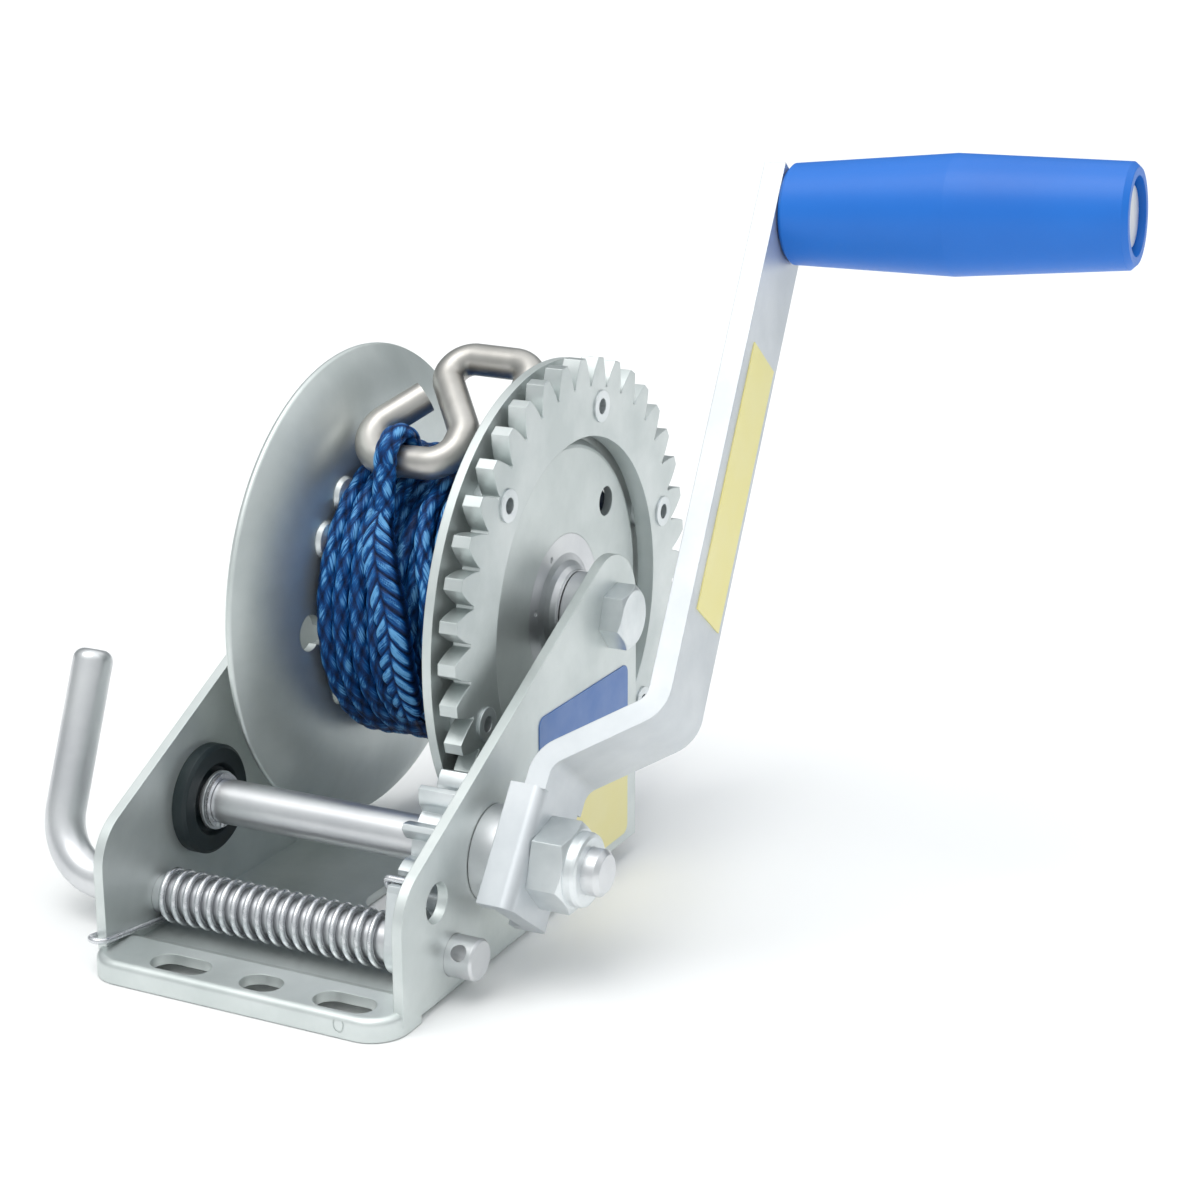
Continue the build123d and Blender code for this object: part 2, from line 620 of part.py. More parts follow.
with BuildPart() as rope_eye:
    # Thick spliced end of the rope, lying on the front of the rope pack.
    splice_plane = Plane(origin=(EYE_X, AXLE_Y, AXLE_Z), x_dir=(0, 1, 0), z_dir=(1, 0, 0))
    with BuildLine(splice_plane) as splice_path:
        CenterArc((0, 0), SPLICE_R, SPLICE_FROM, SPLICE_SWEEP)
    with BuildSketch(Plane(splice_path.line @ 0, z_dir=splice_path.line % 0, x_dir=(1, 0, 0))):
        Ellipse(4.8, 2.4)
    sweep()
    # Loop from the splice up over the hook's lower rod.
    loop_plane = Plane(
        origin=(EYE_X - 1.3, HOOK_ORIGIN[1], HOOK_ORIGIN[2]), x_dir=(0, 1, 0), z_dir=(1, 0, 0)
    )
    splice_top = polar(SPLICE_R, SPLICE_FROM)
    start_y = AXLE_Y + splice_top[0] - HOOK_ORIGIN[1]
    start_z = AXLE_Z + splice_top[1] - HOOK_ORIGIN[2]
    loop_r = HOOK_R + ROPE_R + 0.5
    start_angle = degrees(atan2(start_z, start_y)) % 360
    leave = start_angle - degrees(acos(loop_r / hypot(start_y, start_z)))
    with BuildLine(loop_plane) as loop_path:
        over = CenterArc((0, 0), loop_r, leave, 12 - leave)
        Line((start_y, start_z), over @ 0)
    loop_wire = loop_path.wires()[0]
    with BuildSketch(Plane(loop_wire @ 0, z_dir=loop_wire % 0)):
        Circle(ROPE_R)
    sweep(path=loop_wire)
save(rope_eye, "rope_eye")

# ---------------------------------------------------------------- pinion shaft
PINION_FROM = 24.0
PINION_TO = 34.0
COLLAR_TO = 42.5
FLAT_TO = 50.5
SHAFT_LEFT = -39.4
SHAFT_RIGHT = 64.5
FLATS = 8.0

with BuildPart() as pinion_shaft:
    ring(SHAFT_PLANE, SHAFT_LEFT, SHAFT_RIGHT, SHAFT_R)
    chamfer(pinion_shaft.edges().filter_by(GeomType.CIRCLE).sort_by(Axis.X)[-1], 1.0)
    chamfer(pinion_shaft.edges().filter_by(GeomType.CIRCLE).sort_by(Axis.X)[0], 0.5)
    # Two flats that drive the crank.
    with BuildSketch(SHAFT_PLANE.offset(COLLAR_TO)):
        Circle(SHAFT_R)
        Rectangle(3 * SHAFT_R, FLATS, rotation=CRANK_ANGLE, mode=Mode.SUBTRACT)
    extrude(amount=FLAT_TO - COLLAR_TO, mode=Mode.SUBTRACT)
    # Groove for the circlip beside the left bush.
    with BuildSketch(SHAFT_PLANE.offset(-30.9)):
        Circle(SHAFT_R)
        Circle(SHAFT_R - 0.4, mode=Mode.SUBTRACT)
    extrude(amount=0.9, mode=Mode.SUBTRACT)
save(pinion_shaft, "pinion_shaft")

mesh_angle = degrees(atan2(SHAFT_Z - AXLE_Z, SHAFT_Y - AXLE_Y)) % 360
gear_pitch = 360 / GEAR_TEETH
offset_to_tooth = (GEAR_PHASE - mesh_angle + gear_pitch / 2) % gear_pitch - gear_pitch / 2
# The pinion's gap meets the gear's tooth, so its tooth is half a pitch round from there.
pinion_gap = mesh_angle - 180 - offset_to_tooth * GEAR_TEETH / PINION_TEETH
pinion_phase = pinion_gap + 180 / PINION_TEETH

with BuildPart() as pinion:
    with BuildSketch(SHAFT_PLANE.offset(PINION_FROM)):
        with BuildLine():
            gear_outline(PINION_TEETH, PINION_TOOTH, PINION_TIP_R, PINION_ROOT_R, pinion_phase)
        make_face()
        Circle(SHAFT_R, mode=Mode.SUBTRACT)
    extrude(amount=PINION_TO - PINION_FROM)
save(pinion, "pinion")

with BuildPart() as shaft_bush_left:
    turned(
        SHAFT_PLANE,
        [
            (-FRAME_HALF - 0.8, SHAFT_R + RUNNING),
            (-FRAME_HALF - 0.8, BUSH_SPIGOT_R),
            (-PLATE_INNER, BUSH_SPIGOT_R),
            (-PLATE_INNER, BUSH_FLANGE_R),
            (-32.6, BUSH_FLANGE_R),
            (-31.9, BUSH_FLANGE_R - 0.8),
            (-31.9, 8.2),
            (-33.2, 7.4),
            (-33.2, SHAFT_R + RUNNING),
        ],
    )
save(shaft_bush_left, "shaft_bush_left")

with BuildPart() as shaft_circlip:
    with BuildSketch(SHAFT_PLANE.offset(-30.8)):
        Circle(6.2)
        Circle(SHAFT_R - 0.4, mode=Mode.SUBTRACT)
        with Locations(polar(SHAFT_R, 250)):
            Rectangle(5, 3, rotation=250, mode=Mode.SUBTRACT)
    extrude(amount=0.7)
save(shaft_circlip, "shaft_circlip")

with BuildPart() as shaft_washer:
    ring(SHAFT_PLANE, -31.8, -31.0, 6.6, SHAFT_R + RUNNING)
save(shaft_washer, "shaft_washer")

with BuildPart() as shaft_bush_right:
    turned(
        SHAFT_PLANE,
        [
            (FRAME_HALF, SHAFT_R + RUNNING),
            (FRAME_HALF, BUSH_SPIGOT_R),
            (PLATE_INNER, BUSH_SPIGOT_R),
            (PLATE_INNER, 9.6),
            (PINION_TO + 0.15, 9.6),
            (PINION_TO + 0.15, SHAFT_R + RUNNING),
        ],
    )
save(shaft_bush_right, "shaft_bush_right")

with BuildPart() as shaft_collar:
    ring(SHAFT_PLANE, FRAME_HALF + 0.15, COLLAR_TO, 10.4, SHAFT_R)
    chamfer(shaft_collar.edges().filter_by(GeomType.CIRCLE).sort_by(Axis.X)[-1], 0.4)
save(shaft_collar, "shaft_collar")

# ---------------------------------------------------------------- crank
lean = radians(CRANK_LEAN)
ARM_TOP = 162.0
arm_face = 74.0                # outer face of the upper arm, carried on to the shaft's level
HUB_OUTER = FLAT_TO
hub_inner = COLLAR_TO
BEND_SLOPE = 34.7              # slope of the arm between its two bends, degrees


# Outer face of the arm at the grip: origin on the grip's axis, z along it.
GRIP_PLANE = Plane(
    origin=(
        arm_face - CRANK_RADIUS * tan(lean),
        SHAFT_Y + CRANK_RADIUS * crank_out[1],
        SHAFT_Z + CRANK_RADIUS * crank_out[2],
    ),
    x_dir=crank_side,
    z_dir=(cos(lean), sin(lean) * crank_out[1], sin(lean) * crank_out[2]),
)
HUB_TOP = 13.4
HUB_BOTTOM = -13.0
HUB_PROUD = 0.4
HUB_WALL = 3.0
HUB_FACE = 5.0
ARM_ROOT = 0.5                 # the arm starts this far inside the hub's top
# Lower end of the crank's hub, looking out along the crank.
HUB_PLANE = Plane(
    origin=(0, SHAFT_Y + HUB_BOTTOM * crank_out[1], SHAFT_Z + HUB_BOTTOM * crank_out[2]),
    x_dir=(1, 0, 0),
    z_dir=crank_out,
)
SPINDLE_SHANK_R = 4.0
SPINDLE_R = 5.0
HEAD_R = 7.2
HEAD_THICK = 4.4
GRIP_GAP = 0.3
GRIP_MOUTH_R = 8.5
GRIP_RECESS = 6.0
HEAD_FROM = GRIP_LENGTH - GRIP_RECESS + 0.3
NUT_COLLAR = 2.6
NUT_END = HUB_OUTER + 7.6 + NUT_COLLAR
INSERT_DEPTH = 2.6
INSERT_R = 6.4


def arm_x(radius, inset=0.0):
    """X of the leaning upper arm's outer face, or of a face set in behind it."""
    return arm_face - inset / cos(lean) - radius * tan(lean)


with BuildPart() as crank_arm:
    mid_x = HUB_OUTER - CRANK_THICK / 2
    low_r = 19.6
    rise = tan(radians(BEND_SLOPE))
    half = CRANK_THICK / 2
    high_r = (low_r + (arm_face - half / cos(lean) - mid_x) * rise) / (1 + tan(lean) * rise)
    with BuildSketch(CRANK_PLANE.offset(-CRANK_WIDTH / 2)) as profile:
        with BuildLine():
            middle = FilletPolyline(
                (mid_x, HUB_TOP - ARM_ROOT),
                (mid_x, low_r),
                (arm_x(high_r, half), high_r),
                (arm_x(ARM_TOP, half), ARM_TOP),
                radius=6.5,
            )
        trace(middle, CRANK_THICK)
    extrude(amount=CRANK_WIDTH)
    # Folded hub round the shaft, open behind and below.
    with BuildSketch(HUB_PLANE) as hub_section:
        with Locations(((hub_inner + HUB_OUTER) / 2, 0)):
            Rectangle(HUB_OUTER - hub_inner, CRANK_WIDTH + 2 * HUB_PROUD)
        fillet(hub_section.vertices().group_by(Axis.X)[-1], 2.6)
    extrude(amount=HUB_TOP - HUB_BOTTOM)
    with BuildSketch(HUB_PLANE):
        with Locations(((hub_inner + HUB_OUTER - HUB_FACE) / 2, 0)):
            Rectangle(HUB_OUTER - HUB_FACE - hub_inner, CRANK_WIDTH - 2 * HUB_WALL)
    extrude(amount=HUB_TOP - HUB_BOTTOM - HUB_WALL, mode=Mode.SUBTRACT)
    # Hole with two flats for the shaft.
    with BuildSketch(SHAFT_PLANE.offset(hub_inner)) as flatted_hole:
        Circle(SHAFT_R)
        Rectangle(3 * SHAFT_R, FLATS, rotation=CRANK_ANGLE, mode=Mode.INTERSECT)
    extrude(amount=HUB_OUTER - hub_inner, mode=Mode.SUBTRACT)
    # Hole for the grip spindle.
    with BuildSketch(GRIP_PLANE):
        Circle(SPINDLE_SHANK_R)
    extrude(amount=-CRANK_THICK - 1, mode=Mode.SUBTRACT)
save(crank_arm, "crank_arm")

with BuildPart() as crank_nut:
    hexagon_nut(SHAFT_PLANE, HUB_OUTER, 7.6, 17, SHAFT_R, NUT_COLLAR)
    ring(
        SHAFT_PLANE, NUT_END - INSERT_DEPTH, NUT_END - 0.4, INSERT_R, mode=Mode.SUBTRACT
    )
save(crank_nut, "crank_nut")

with BuildPart() as nut_insert:
    ring(SHAFT_PLANE, NUT_END - INSERT_DEPTH, NUT_END - 0.4, INSERT_R, SHAFT_R)
save(nut_insert, "nut_insert")

# ---------------------------------------------------------------- grip
with BuildPart() as grip_spindle:
    # Riveted through the arm; the wide head in the grip's open end holds the grip on.
    with BuildSketch(GRIP_PLANE.offset(-CRANK_THICK)):
        Circle(SPINDLE_SHANK_R)
    extrude(amount=CRANK_THICK)
    with BuildSketch(GRIP_PLANE.offset(-CRANK_THICK)):
        Circle(SPINDLE_SHANK_R + 1.6)
    extrude(amount=-1.4)
    with BuildSketch(GRIP_PLANE):
        Circle(SPINDLE_R)
    extrude(amount=HEAD_FROM)
    with BuildSketch(GRIP_PLANE.offset(HEAD_FROM)):
        Circle(HEAD_R)
    extrude(amount=HEAD_THICK)
    chamfer(grip_spindle.edges().sort_by(Axis(GRIP_PLANE.origin, GRIP_PLANE.z_dir))[-1], 0.6)
save(grip_spindle, "grip_spindle")

with BuildPart() as grip:
    # Two shallow tapers that meet at the mould line, open at the outer end.
    grip_side = Plane(
        origin=GRIP_PLANE.origin,
        x_dir=GRIP_PLANE.z_dir,
        z_dir=GRIP_PLANE.x_dir.cross(GRIP_PLANE.z_dir),
    )
    with BuildSketch(grip_side):
        with BuildLine():
            Polyline(
                (GRIP_GAP, SPINDLE_R + RUNNING),
                (GRIP_GAP, GRIP_END_R - 0.8),
                (GRIP_GAP + 0.8, GRIP_END_R),
                (GRIP_MIDDLE, GRIP_MIDDLE_R),
                (GRIP_LENGTH - 1.2, GRIP_END_R + 0.1),
                (GRIP_LENGTH, GRIP_END_R - 1.0),
                (GRIP_LENGTH, GRIP_MOUTH_R),
                (GRIP_LENGTH - GRIP_RECESS, GRIP_MOUTH_R),
                (GRIP_LENGTH - GRIP_RECESS, SPINDLE_R + RUNNING),
                close=True,
            )
        make_face()
    revolve(axis=Axis(GRIP_PLANE.origin, GRIP_PLANE.z_dir))
save(grip, "grip")

# ---------------------------------------------------------------- pawl and its spring
with BuildPart() as pawl_shaft:
    with BuildLine(Plane(origin=(0, PAWL_Y, PAWL_Z), x_dir=(1, 0, 0), z_dir=lever_side)) as rod:
        FilletPolyline(
            (PAWL_SHAFT_END, 0), (LEVER_X, 0), (LEVER_X, LEVER_LENGTH), radius=LEVER_BEND
        )
    with BuildSketch(Plane(rod.line @ 0, z_dir=rod.line % 0)):
        Circle(PAWL_SHAFT_R)
    sweep()
    end_edges = pawl_shaft.edges().filter_by(GeomType.CIRCLE).sort_by(Axis.Z)
    fillet(end_edges[-1], 2.6)
    chamfer(pawl_shaft.edges().filter_by(GeomType.CIRCLE).sort_by(Axis.X)[-1], 0.5)
    # Cross hole for a split pin outside the right plate.
    cross_plane = Plane(
        origin=(CROSS_HOLE_X, PAWL_Y, PAWL_Z), x_dir=(1, 0, 0), z_dir=CROSS_HOLE_DIR
    )
    with BuildSketch(cross_plane):
        Circle(CROSS_HOLE_R)
    extrude(amount=PAWL_SHAFT_R + 1, both=True, mode=Mode.SUBTRACT)
save(pawl_shaft, "pawl_shaft")


def from_pinion(radius, angle):
    """Point given from the pinion's centre, in the pawl plane's own y and z."""
    y, z = polar(radius, angle)
    return (SHAFT_Y + y - PAWL_Y, SHAFT_Z + z - PAWL_Z)


# The gap that the nose drops into, seen with the pawl turned back to rest.
nose_gap = pinion_gap + 180 - 0.6 * PAWL_STAND_OFF
nose_r = PINION_TIP_R + NOSE_GAP

with BuildPart() as pawl:
    # Hub on the shaft, arm with the spring's step on top, nose just clear of the pinion.
    with BuildSketch(PAWL_PLANE.offset(PAWL_FROM)) as pawl_face:
        Circle(PAWL_HUB_R)
        with BuildLine():
            Polyline(
                polar(PAWL_HUB_R, 182),
                (-5.2, 8.0),
                (-4.4, 13.2),
                (-3.8, PAWL_STEP[1]),
                PAWL_STEP,
                from_pinion(nose_r, nose_gap - 2.6),
                from_pinion(nose_r, nose_gap),
                from_pinion(nose_r, nose_gap + 2.6),
                from_pinion(nose_r + 1.4, nose_gap + 11),
                polar(PAWL_HUB_R, 52),
                close=True,
            )
        make_face()
        Circle(PAWL_SHAFT_R, mode=Mode.SUBTRACT)
    extrude(amount=PAWL_TO - PAWL_FROM)
save(pawl, "pawl")

pawl_axis = Axis((0, PAWL_Y, PAWL_Z), (1, 0, 0))
# The front leg leaves the coil underneath and rises to the left plate's front edge.
leg_down = (0, -sin(radians(LEG_RISE)), -cos(radians(LEG_RISE)))
front_leg = Plane(
    origin=(0, PAWL_Y + SPRING_R * leg_down[1], PAWL_Z + SPRING_R * leg_down[2]),
    x_dir=(1, 0, 0),
    z_dir=leg_down,
)
# The rear leg leaves the coil behind and lies in the step on top of the pawl.
step_y, step_z = PAWL_STEP[0] - SPRING_WIRE / 2 - 0.05, PAWL_STEP[1] + SPRING_WIRE / 2 + 0.05
step_distance = hypot(step_y, step_z)
coil_end_angle = degrees(atan2(step_z, step_y)) - degrees(acos(SPRING_R / step_distance))
rear_leg_length = sqrt(step_distance**2 - SPRING_R**2)
coil_end = polar(SPRING_R, coil_end_angle)
rear_leg = Plane(
    origin=(0, PAWL_Y + coil_end[0], PAWL_Z + coil_end[1]),
    x_dir=(1, 0, 0),
    z_dir=(0, -cos(radians(coil_end_angle)), -sin(radians(coil_end_angle))),
)
coil_start_angle = -90 - LEG_RISE
turns = SPRING_TURNS + (coil_end_angle - coil_start_angle) / 360
coil_length = SPRING_TO - SPRING_FROM
# Each leg starts along the coil's own slope, so that the wire has no kink.
coil_slope = coil_length / turns / (2 * pi * SPRING_R)
coil = Helix(
    pitch=coil_length / turns,
    height=coil_length,
    radius=SPRING_R,
    center=(SPRING_FROM, PAWL_Y, PAWL_Z),
    direction=(1, 0, 0),
).rotate(pawl_axis, coil_start_angle - 90)

with BuildPart() as pawl_spring:
    with BuildSketch(Plane(coil @ 0, z_dir=coil % 0)):
        Circle(SPRING_WIRE / 2)
    sweep(path=coil, is_frenet=True)
    # Hook round the plate's edge.
    reach = (PAWL_Y - FRAME_FRONT) / cos(radians(LEG_RISE))
    with BuildLine(front_leg) as hook_line:
        FilletPolyline(
            (SPRING_FROM, 0),
            (SPRING_FROM - LEG_START * coil_slope, LEG_START),
            (-PLATE_INNER + 0.75, reach + 1.8),
            (-FRAME_HALF - 0.85, reach + 1.8),
            (-FRAME_HALF - 0.85, reach - 3.2),
            radius=1.9,
        )
    with BuildSketch(Plane(hook_line.line @ 0, z_dir=hook_line.line % 0)):
        Circle(SPRING_WIRE / 2)
    sweep(path=hook_line.line)
    with BuildLine(rear_leg) as leg_line:
        FilletPolyline(
            (SPRING_TO, 0),
            (SPRING_TO + LEG_START * coil_slope, LEG_START),
            (SPRING_TO + LEG_START * coil_slope, rear_leg_length),
            (PAWL_TO - 1, rear_leg_length),
            radius=1.2,
        )
    with BuildSketch(Plane(leg_line.line @ 0, z_dir=leg_line.line % 0)):
        Circle(SPRING_WIRE / 2)
    sweep(path=leg_line.line)
save(pawl_spring, "pawl_spring")

# ---------------------------------------------------------------- blank labels
with BuildPart() as side_label:
    with BuildSketch(Plane(origin=(FRAME_HALF, 0, 0), x_dir=(0, 1, 0), z_dir=(1, 0, 0))):
        with Locations(((LABEL_FRONT + LABEL_BACK) / 2, (LABEL_LOW + LABEL_HIGH) / 2)):
            RectangleRounded(LABEL_BACK - LABEL_FRONT, LABEL_HIGH - LABEL_LOW, 2.2)
    extrude(amount=LABEL_THICK)
save(side_label, "side_label")

with BuildPart() as crank_label:
    arm_plane = Plane(origin=GRIP_PLANE.origin, x_dir=crank_side, z_dir=GRIP_PLANE.z_dir)
    with BuildSketch(arm_plane):
        with Locations((CRANK_LABEL_SIDE, CRANK_RADIUS - CRANK_LABEL_MIDDLE)):
            Rectangle(CRANK_LABEL_WIDTH, CRANK_LABEL_LENGTH)
    extrude(amount=LABEL_THICK)
save(crank_label, "crank_label")
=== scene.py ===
import json
import math

import bpy
import numpy as np
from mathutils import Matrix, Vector


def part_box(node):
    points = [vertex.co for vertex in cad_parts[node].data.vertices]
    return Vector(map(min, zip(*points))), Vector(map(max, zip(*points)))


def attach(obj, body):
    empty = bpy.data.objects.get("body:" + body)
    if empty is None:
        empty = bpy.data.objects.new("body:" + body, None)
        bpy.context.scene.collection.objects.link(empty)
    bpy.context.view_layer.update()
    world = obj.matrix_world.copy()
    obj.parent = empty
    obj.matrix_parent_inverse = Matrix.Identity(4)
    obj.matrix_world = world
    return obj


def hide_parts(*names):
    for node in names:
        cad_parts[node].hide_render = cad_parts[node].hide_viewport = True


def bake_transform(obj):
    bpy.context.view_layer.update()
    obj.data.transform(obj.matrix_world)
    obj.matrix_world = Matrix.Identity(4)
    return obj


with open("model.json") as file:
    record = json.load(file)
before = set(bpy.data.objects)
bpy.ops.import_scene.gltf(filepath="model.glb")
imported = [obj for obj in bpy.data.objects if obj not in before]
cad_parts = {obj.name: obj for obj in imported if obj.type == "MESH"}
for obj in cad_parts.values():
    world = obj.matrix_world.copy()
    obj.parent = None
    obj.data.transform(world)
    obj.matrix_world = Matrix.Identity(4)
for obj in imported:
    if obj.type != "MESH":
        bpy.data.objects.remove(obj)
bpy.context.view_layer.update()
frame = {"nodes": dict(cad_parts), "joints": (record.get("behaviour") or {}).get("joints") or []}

MM = 0.001
FULL_TURN = 2 * math.pi
WHITE = (1, 1, 1, 1)
BLACK = (0, 0, 0, 1)
NODES = frame["nodes"]
JOINTS = {joint["name"]: joint for joint in frame["joints"]}
AXLE = Vector(JOINTS["drum_spin"]["pos_m"])
rng = np.random.default_rng(7)


# ---------------------------------------------------------------- materials
class Shader:
    """A node material under construction, with short calls for the nodes used here."""

    def __init__(self, name):
        self.material = bpy.data.materials.new(name)
        self.material.use_nodes = True
        self.tree = self.material.node_tree
        self.surface = self.tree.nodes["Principled BSDF"]

    def plug(self, socket, value):
        """Feed a socket from another node's output, or set it to a plain value."""
        if isinstance(value, bpy.types.NodeSocket):
            self.tree.links.new(value, socket)
        else:
            socket.default_value = value

    def node(self, kind, **inputs):
        made = self.tree.nodes.new("ShaderNode" + kind)
        for key, value in inputs.items():
            self.plug(made.inputs[key.replace("_", " ")], value)
        return made

    def set(self, **inputs):
        for key, value in inputs.items():
            self.plug(self.surface.inputs[key.replace("_", " ")], value)

    def place(self):
        return self.node("TexCoord").outputs["Object"]

    def stretched(self, vector, scale):
        return self.node("Mapping", Vector=vector, Scale=scale).outputs["Vector"]

    def noise(self, vector, scale, detail=3.0, rough=0.55):
        made = self.node("TexNoise", Vector=vector, Scale=scale, Detail=detail, Roughness=rough)
        return made.outputs["Fac"]

    def attribute(self, name):
        """Node that reads a value stored on the mesh under a name."""
        made = self.node("Attribute")
        made.attribute_name = name
        return made

    def gradient(self, value, stops):
        """Colour picked by a value from a list of (position, colour) stops."""
        made = self.node("ValToRGB", Fac=value)
        elements = made.color_ramp.elements
        for element, (position, color) in zip(elements, (stops[0], stops[-1])):
            element.position = position
            element.color = color
        for position, color in stops[1:-1]:
            elements.new(position).color = color
        return made.outputs["Color"]

    def ramp(self, value, low, high):
        """0 below low, 1 above high."""
        return self.gradient(value, ((low, BLACK), (high, WHITE)))

    def mix(self, factor, first, second):
        made = self.node("Mix")
        made.data_type = "RGBA"
        for index, value in ((0, factor), (6, first), (7, second)):
            self.plug(made.inputs[index], value)
        return made.outputs[2]

    def math(self, operation, first, second):
        made = self.node("Math")
        made.operation = operation
        self.plug(made.inputs[0], first)
        self.plug(made.inputs[1], second)
        return made.outputs[0]

    def bump(self, height, strength, distance, radius=0.0):
        """Bump over softly rounded edges: radius is the edge rounding in metres."""
        made = self.node("Bump", Height=height, Strength=strength, Distance=distance)
        if radius:
            bevel = self.node("Bevel", Radius=radius)
            bevel.samples = 4
            self.tree.links.new(bevel.outputs["Normal"], made.inputs["Normal"])
        self.set(Normal=made.outputs["Normal"])


def metal(name, light, dark, rough, edge=0.3 * MM, grain=0.12, streak=(1, 1, 1), metallic=0.9):
    """Plated steel: mottled colour, fine grain and, where edge is given, slightly rounded edges."""
    cloud_scale, dent_scale, speck_scale, grain_scale = 55.0, 260.0, 420.0, 1500.0
    speck_strength, dent_strength = 0.10, 1.5
    rough_spread = 0.10
    relief_height = 0.04 * MM
    shader = Shader(name)
    place = shader.place()
    cloudy = shader.noise(place, cloud_scale, 4.0)
    fine = shader.noise(shader.stretched(place, streak), grain_scale, 2.0)
    base = shader.mix(shader.ramp(cloudy, 0.36, 0.66), (*dark, 1), (*light, 1))
    clear = shader.ramp(shader.noise(place, speck_scale), 0.30, 0.42)
    speck = shader.math("MULTIPLY", shader.math("SUBTRACT", 1.0, clear), speck_strength)
    color = shader.mix(speck, base, (*dark, 1))
    spread = shader.math("MULTIPLY", fine, rough_spread)
    roughness = shader.math("ADD", rough - rough_spread / 2, spread)
    shader.set(Base_Color=color, Metallic=metallic, Roughness=roughness)
    dents = shader.math("MULTIPLY", shader.noise(place, dent_scale), dent_strength)
    shader.bump(shader.math("ADD", fine, dents), grain, relief_height, edge)
    return shader.material


def plastic(name, color, shade, rough, grain=0.15):
    """Moulded plastic with a faint surface grain and slow colour drift."""
    drift_scale, grain_scale = 30.0, 900.0
    rough_spread = 0.12
    grain_height, edge = 0.05 * MM, 0.3 * MM
    shader = Shader(name)
    place = shader.place()
    drift = shader.ramp(shader.noise(place, drift_scale), 0.3, 0.7)
    shader.set(Base_Color=shader.mix(drift, (*shade, 1), (*color, 1)), Specular_IOR_Level=0.5)
    fine = shader.noise(place, grain_scale)
    spread = shader.math("MULTIPLY", fine, rough_spread)
    shader.set(Roughness=shader.math("ADD", rough - rough_spread / 2, spread))
    shader.bump(fine, grain, grain_height, edge)
    return shader.material


def label(name, top, bottom=None, split=0.0):
    """Blank printed film: one colour, or two that meet at a height."""
    wear_scale, ripple_scale = 90.0, 300.0
    wear_strength, ripple_strength = 0.10, 0.08
    ripple_height, edge = 0.03 * MM, 0.1 * MM
    shader = Shader(name)
    place = shader.place()
    color = (*top, 1)
    if bottom:
        height = shader.node("SeparateXYZ", Vector=place).outputs["Z"]
        above = shader.math("GREATER_THAN", height, split)
        color = shader.mix(above, (*bottom, 1), (*top, 1))
    wear = shader.ramp(shader.noise(place, wear_scale, 4.0), 0.35, 0.75)
    pale = shader.mix(shader.math("MULTIPLY", wear, wear_strength), color, WHITE)
    shader.set(Base_Color=pale, Roughness=0.38)
    ripple = shader.noise(place, ripple_scale, 2.0)
    shader.bump(ripple, ripple_strength, ripple_height, edge)
    return shader.material


def rope_material(name):
    """Braided rope: colour follows the strand tone and painted shade stored on the mesh, lifted into
    painted highlights along the filament streaks.
    """
    filaments_across, filaments_along = 9.0, 1.2
    sheen_contrast, brightness = 1.4, 3.4
    relief_strength, relief_height = 0.7, 0.18 * MM
    # Colour stops run from painted shade, nearly black, through the rope's own navy to a painted
    # highlight of pale blue.
    shade_to_highlight_stops = (
        (0.04, (0.0006, 0.006, 0.026, 1)),
        (0.30, (0.001, 0.027, 0.120, 1)),
        (0.62, (0.004, 0.090, 0.31, 1)),
        (0.97, (0.13, 0.38, 0.70, 1)),
    )
    shader = Shader(name)
    tone_and_shade = shader.attribute("tone_and_shade").outputs["Fac"]
    strand = shader.node("SeparateXYZ", Vector=shader.attribute("weave").outputs["Vector"])
    lines = shader.node(
        "CombineXYZ",
        X=shader.math("MULTIPLY", strand.outputs["X"], filaments_across),
        Y=shader.math("MULTIPLY", strand.outputs["Y"], filaments_along),
        Z=strand.outputs["Z"],
    )
    filament = shader.noise(lines.outputs["Vector"], 1.0, 3.0, 0.6)
    # Streaks along the filaments: partly the filament texture, partly painted highlight that lifts
    # the colour towards the pale blue end.
    streak = shader.math("POWER", filament, sheen_contrast)
    amount = shader.math("MULTIPLY", tone_and_shade, shader.math("MULTIPLY", streak, brightness))
    color = shader.gradient(amount, shade_to_highlight_stops)
    shader.set(Base_Color=color, Roughness=0.45, Specular_IOR_Level=0.22)
    shader.bump(filament, relief_strength, relief_height)
    return shader.material


# The side label is blue above this height and yellow below it.
side_low, side_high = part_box("side_label")
LABEL_SPLIT = side_low.z + 0.56 * (side_high.z - side_low.z)

# Metals and plastics: main colour, darker colour, roughness.
MATERIALS = {
    "sheet": metal("sheet", (0.72, 0.76, 0.75), (0.62, 0.665, 0.655), 0.44, metallic=0.8),
    "gear_plate": metal("gear_plate", (0.68, 0.715, 0.71), (0.56, 0.605, 0.60), 0.38, metallic=0.85),
    "turned": metal("turned", (0.74, 0.75, 0.76), (0.63, 0.64, 0.66), 0.36, streak=(1, 0.05, 0.05)),
    "crank": metal("crank", (0.69, 0.715, 0.735), (0.59, 0.62, 0.645), 0.46, metallic=0.75),
    "fastener": metal("fastener", (0.82, 0.85, 0.86), (0.62, 0.66, 0.67), 0.38, grain=0.35),
    "wire": metal("wire", (0.78, 0.79, 0.81), (0.66, 0.67, 0.70), 0.26, edge=0.0, grain=0.03),
    "stainless": metal("stainless", (0.54, 0.525, 0.50), (0.42, 0.405, 0.38), 0.38, edge=0.0),
    "bronze": metal("bronze", (0.60, 0.42, 0.20), (0.42, 0.28, 0.13), 0.40),
    "black_nylon": plastic("black_nylon", (0.012, 0.026, 0.03), (0.006, 0.013, 0.016), 0.45),
    "insert": plastic("insert", (0.55, 0.60, 0.58), (0.42, 0.46, 0.45), 0.5),
    "blue_grip": plastic("blue_grip", (0.004, 0.165, 0.66), (0.003, 0.145, 0.60), 0.42, grain=0.2),
    "side_label": label("side_label", (0.075, 0.19, 0.50), (0.86, 0.78, 0.36), LABEL_SPLIT),
    "crank_label": label("crank_label", (0.88, 0.79, 0.30)),
    "rope": rope_material("rope"),
}

